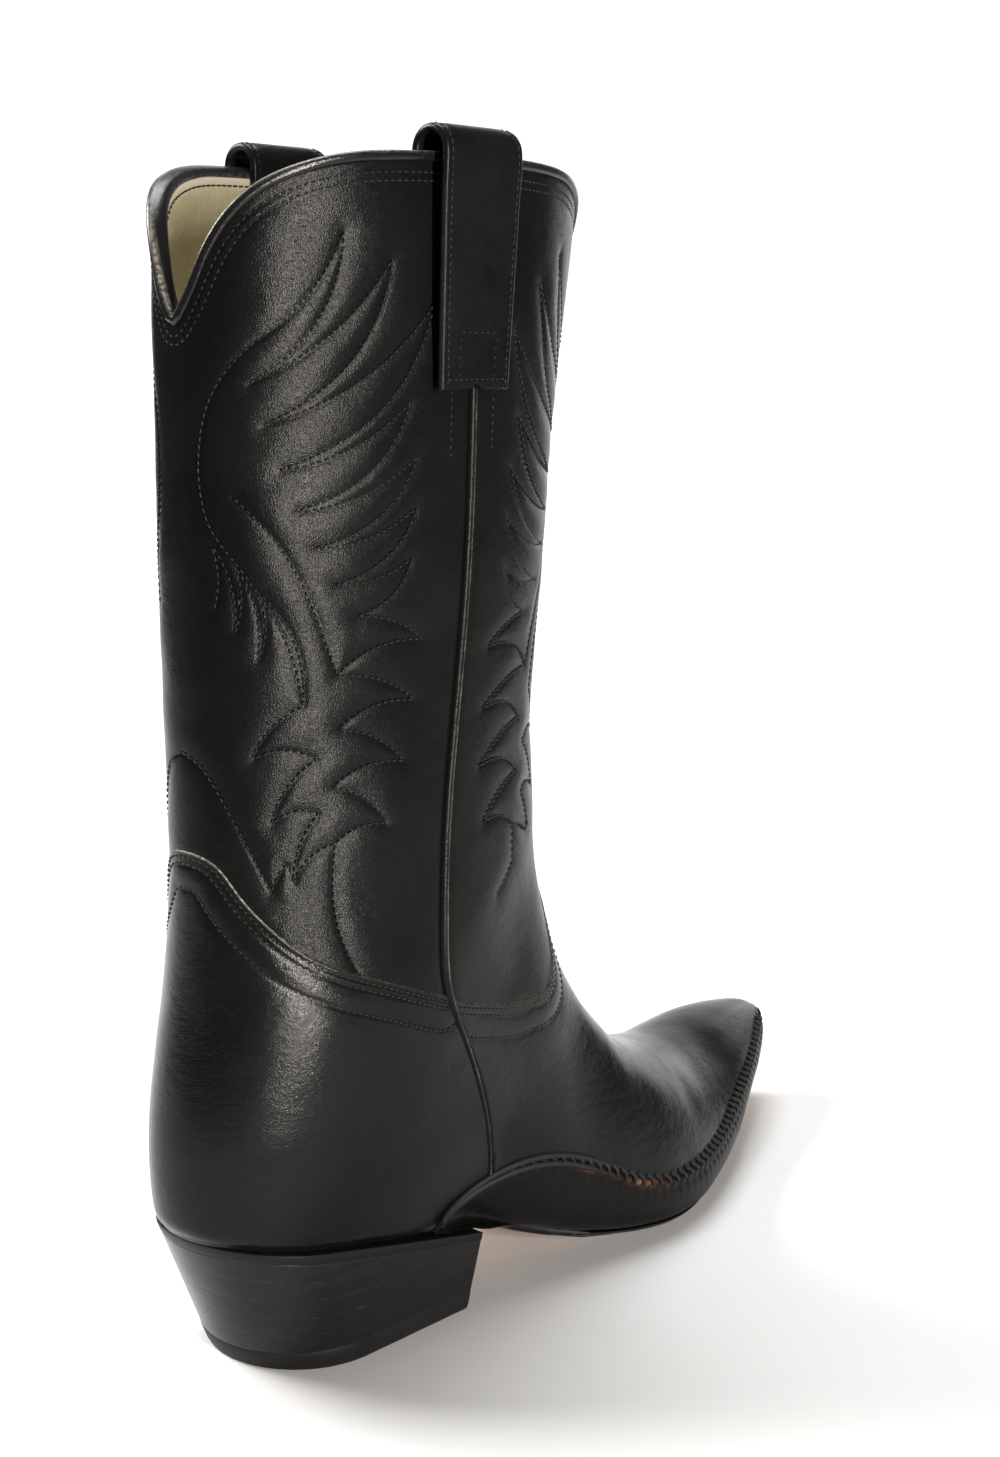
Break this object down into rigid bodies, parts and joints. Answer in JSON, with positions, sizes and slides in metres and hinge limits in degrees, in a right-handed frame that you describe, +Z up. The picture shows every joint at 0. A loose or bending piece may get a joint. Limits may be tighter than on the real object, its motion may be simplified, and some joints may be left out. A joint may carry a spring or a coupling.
{
  "type": "cowboy boot",
  "caption": "Pull-on western boot for the right foot, with a scalloped stitched shaft, pull straps, pointed toe, laced wrap sole and underslung stacked heel.",
  "frame": {"origin": "middle of the heel's rest face on the ground", "axes": "+X to the toe, +Y to the inner side of the foot (the wearer's left), +Z up the shaft"},
  "size_m": [0.3094, 0.0941, 0.3528],
  "materials": {
    "black_calf": "semi-gloss polished black calf with fine grain",
    "sole_black": "black waxed sole leather, slightly duller",
    "binding_black": "glossy rolled binding with pale raw inner edge",
    "lining_tan": "matte undyed lining leather, tan to olive",
    "outsole_leather": "natural vegetable-tanned sole leather, edges inked black at the heel",
    "heel_black": "stacked leather inked and waxed black, satin",
    "cap_rubber": "black rubber, matte",
    "thread_black": "waxed black linen thread",
    "board": "leather board, matte",
    "sock_leather": "smooth tan sock leather",
    "cork": "pressed cork, matte",
    "stiffener_board": "moulded leather board",
    "spring_steel": "bare spring steel",
    "nail_steel": "bright steel",
    "nail_brass": "worn brass"
  },
  "bodies": {
    "root": {"front_shaft_panel": "black_calf", "back_shaft_panel": "black_calf", "vamp": "black_calf", "counter_cover": "black_calf", "side_piping_left": "black_calf", "side_piping_right": "black_calf", "top_binding_front": "binding_black", "top_binding_back": "binding_black", "front_shaft_lining": "lining_tan", "back_shaft_lining": "lining_tan", "vamp_lining": "lining_tan", "heel_lining": "lining_tan", "toe_box_stiffener": "stiffener_board", "heel_counter_stiffener": "stiffener_board", "wrap_sole": "sole_black", "sole_lacing": "thread_black", "sock_lining": "sock_leather", "insole": "board", "bottom_filler": "cork", "shank": "spring_steel", "shank_tacks": "nail_steel", "outsole": "outsole_leather", "heel_lift_1": "heel_black", "heel_lift_2": "heel_black", "heel_lift_3": "heel_black", "heel_lift_4": "heel_black", "heel_lift_5": "heel_black", "heel_top_lift": "cap_rubber", "heel_nails": "nail_steel", "top_lift_nails": "nail_brass", "pull_strap_left": "black_calf", "pull_strap_right": "black_calf"}
  },
  "joints": []
}
